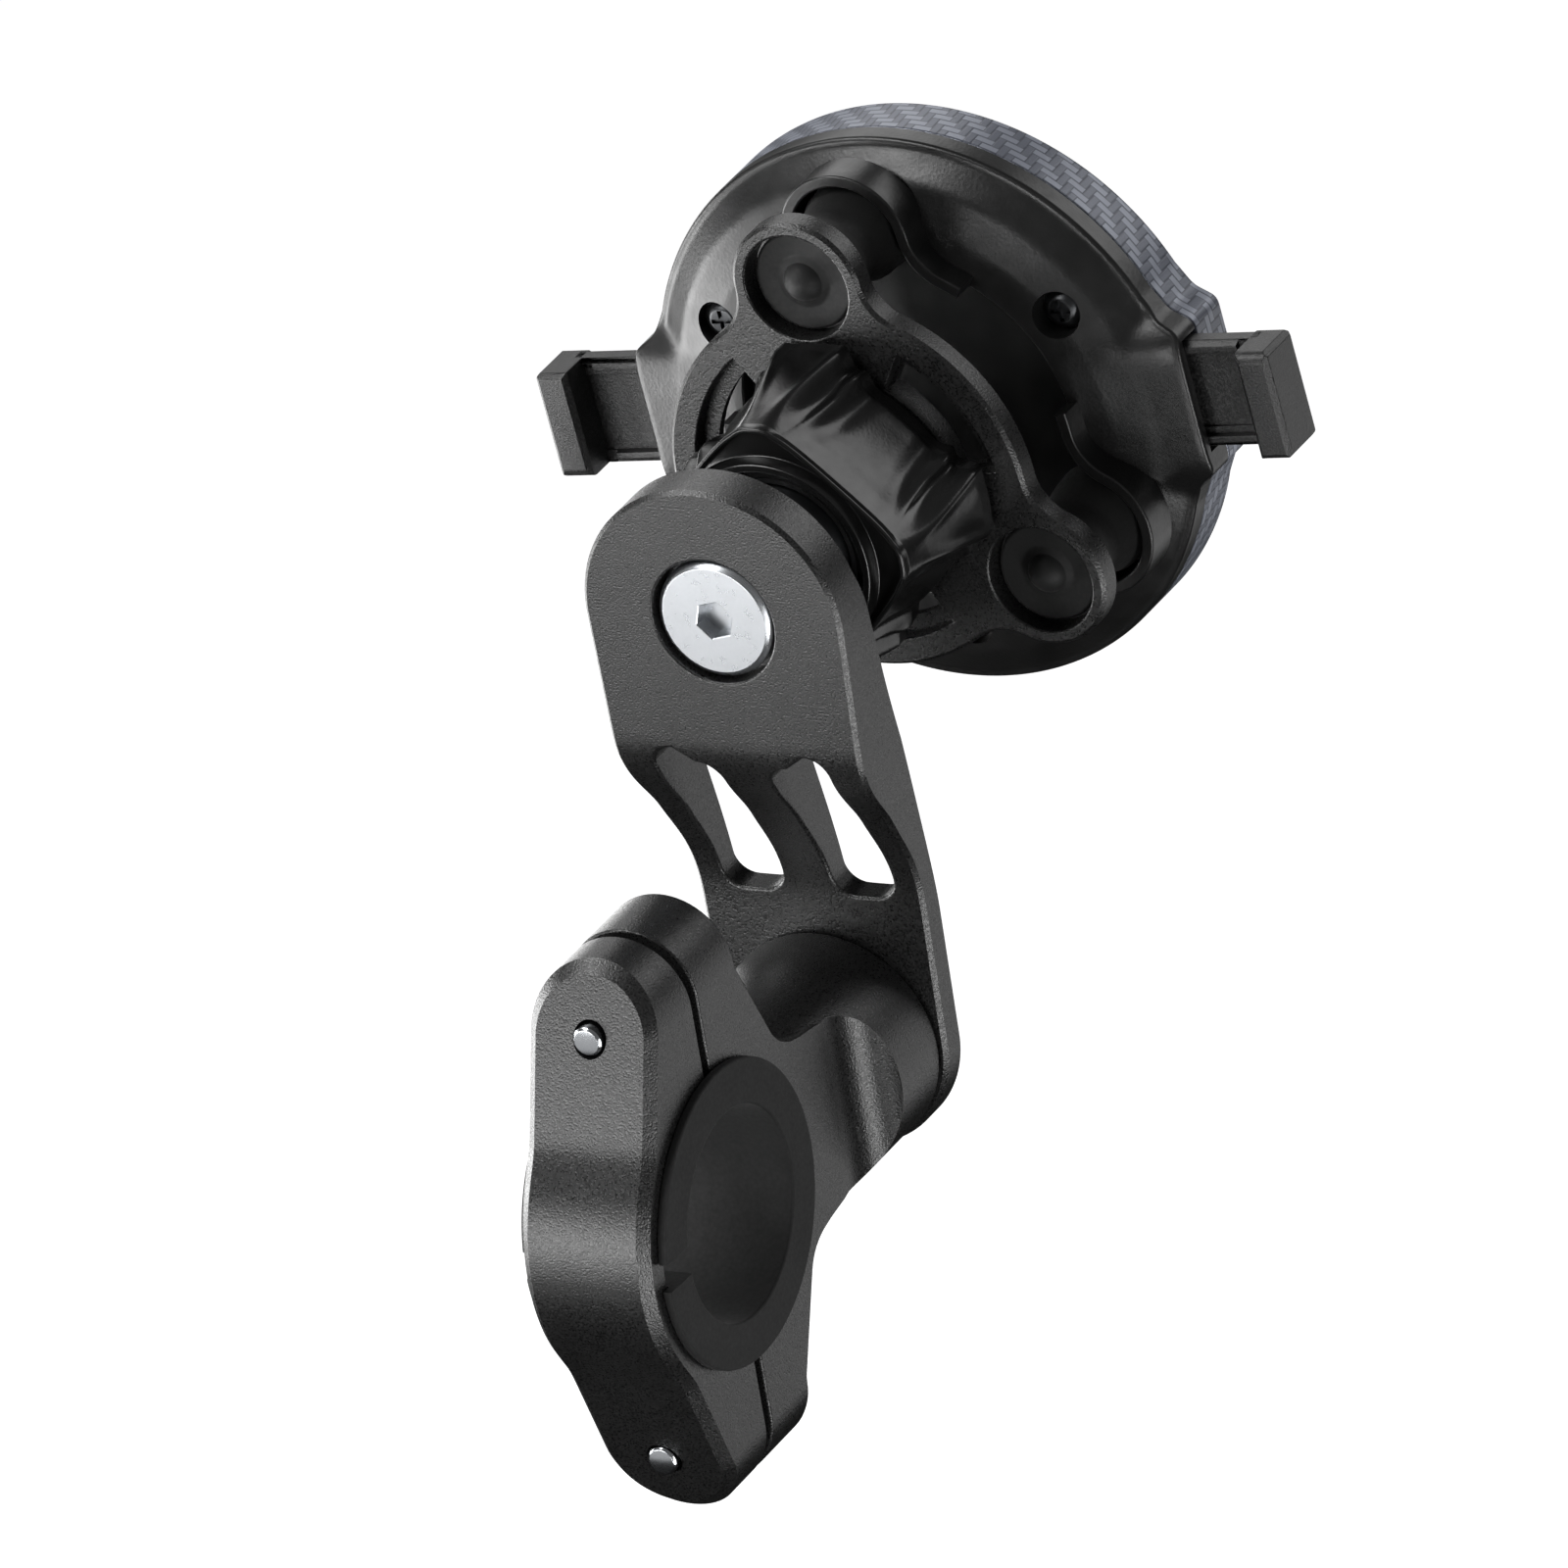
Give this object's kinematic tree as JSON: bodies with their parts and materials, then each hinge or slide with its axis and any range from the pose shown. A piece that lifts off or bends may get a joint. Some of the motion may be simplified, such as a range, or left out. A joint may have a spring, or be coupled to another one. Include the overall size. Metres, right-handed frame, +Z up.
{
  "type": "handlebar phone mount",
  "caption": "Handlebar clamp with a stepped arm, lockable ball joint, rubber vibration damper and a round phone holder with two sprung sliding jaws.",
  "frame": {"origin": "centre of the handlebar bore, midway along the clamp", "axes": "+X along the handlebar, +Y from the bar towards the phone, +Z up along the arm"},
  "size_m": [0.087, 0.1112, 0.1136],
  "materials": {
    "black_metal": "black anodised with a fine grain",
    "soft_rubber": "matte rubber",
    "bright_steel": "bright plated steel",
    "chrome_bolt": "satin chrome",
    "gloss_black": "glossy black plastic with soft sheen",
    "black_plastic": "moulded black plastic, fine grain",
    "jaw_plastic": "moulded dark plastic with sparkle texture",
    "carbon_weave": "silver-blue carbon-fibre weave film",
    "brass": "machined brass"
  },
  "bodies": {
    "clamp": {"clamp_cap": "black_metal", "clamp_base": "black_metal", "rubber_sleeve": "soft_rubber", "clamp_screw_upper": "bright_steel", "clamp_screw_lower": "bright_steel"},
    "arm": {"arm_bracket": "black_metal", "pivot_bolt": "bright_steel", "pivot_washer": "bright_steel", "arm_bolt": "chrome_bolt", "stem_washer": "bright_steel", "ball_stem": "bright_steel"},
    "seat": {"ball_seat": "black_plastic"},
    "socket": {"ball_socket": "black_plastic"},
    "nut": {"lock_nut": "gloss_black"},
    "damper": {"damper_plate": "black_metal"},
    "holder": {"grommet_1": "soft_rubber", "grommet_2": "soft_rubber", "grommet_3": "soft_rubber", "grommet_pin_1": "bright_steel", "grommet_pin_2": "bright_steel", "grommet_pin_3": "bright_steel", "back_cover": "black_plastic", "cover_screw_1": "bright_steel", "cover_screw_2": "bright_steel", "cover_screw_3": "bright_steel", "front_housing": "carbon_weave", "front_pad": "soft_rubber", "pinion_axle": "bright_steel", "pinion_spring": "bright_steel"},
    "right_jaw": {"jaw_right": "jaw_plastic", "finger_pad_right": "soft_rubber"},
    "left_jaw": {"jaw_left": "jaw_plastic", "finger_pad_left": "soft_rubber"},
    "pinion": {"pinion_gear": "brass"}
  },
  "joints": [
    {"name": "arm_pivot", "type": "hinge", "parent": "clamp", "child": "arm", "pos_m": [0, 0.037, 0], "axis": [0, 1, 0], "continuous": true},
    {"name": "ball_tilt_x", "type": "hinge", "parent": "arm", "child": "seat", "pos_m": [0, 0.047, 0.0519], "axis": [1, 0, 0], "range_deg": [-15, 15]},
    {"name": "ball_tilt_z", "type": "hinge", "parent": "seat", "child": "socket", "pos_m": [0, 0.047, 0.0519], "axis": [0, 0, 1], "range_deg": [-15, 15]},
    {"name": "ball_spin", "type": "hinge", "parent": "socket", "child": "damper", "pos_m": [0, 0.047, 0.0519], "axis": [0, 1, 0], "continuous": true},
    {"name": "nut_turn", "type": "hinge", "parent": "socket", "child": "nut", "pos_m": [0, 0.047, 0.0519], "axis": [0, 1, 0], "continuous": true},
    {"name": "damper_float", "type": "slide", "parent": "damper", "child": "holder", "axis": [0, 1, 0], "range_m": [-0.0005, 0.0005], "stiffness_N_per_m": 6000},
    {"name": "jaw_right_slide", "type": "slide", "parent": "holder", "child": "right_jaw", "axis": [0.9947, 0, 0.1028], "range_m": [0, 0.02199], "stiffness_N_per_m": 120, "springref_m": -0.02},
    {"name": "jaw_left_slide", "type": "slide", "parent": "holder", "child": "left_jaw", "axis": [-0.9947, 0, -0.1028], "range_m": [0, 0.022]},
    {"name": "pinion_spin", "type": "hinge", "parent": "holder", "child": "pinion", "pos_m": [-0.00008, 0.0765, 0.05265], "axis": [0, 1, 0], "range_deg": [0, 421]}
  ],
  "couplings": [
    {"joint": "jaw_left_slide", "follows": "jaw_right_slide", "ratio": 1},
    {"joint": "pinion_spin", "follows": "jaw_right_slide", "rad_per_m": 333.33}
  ]
}
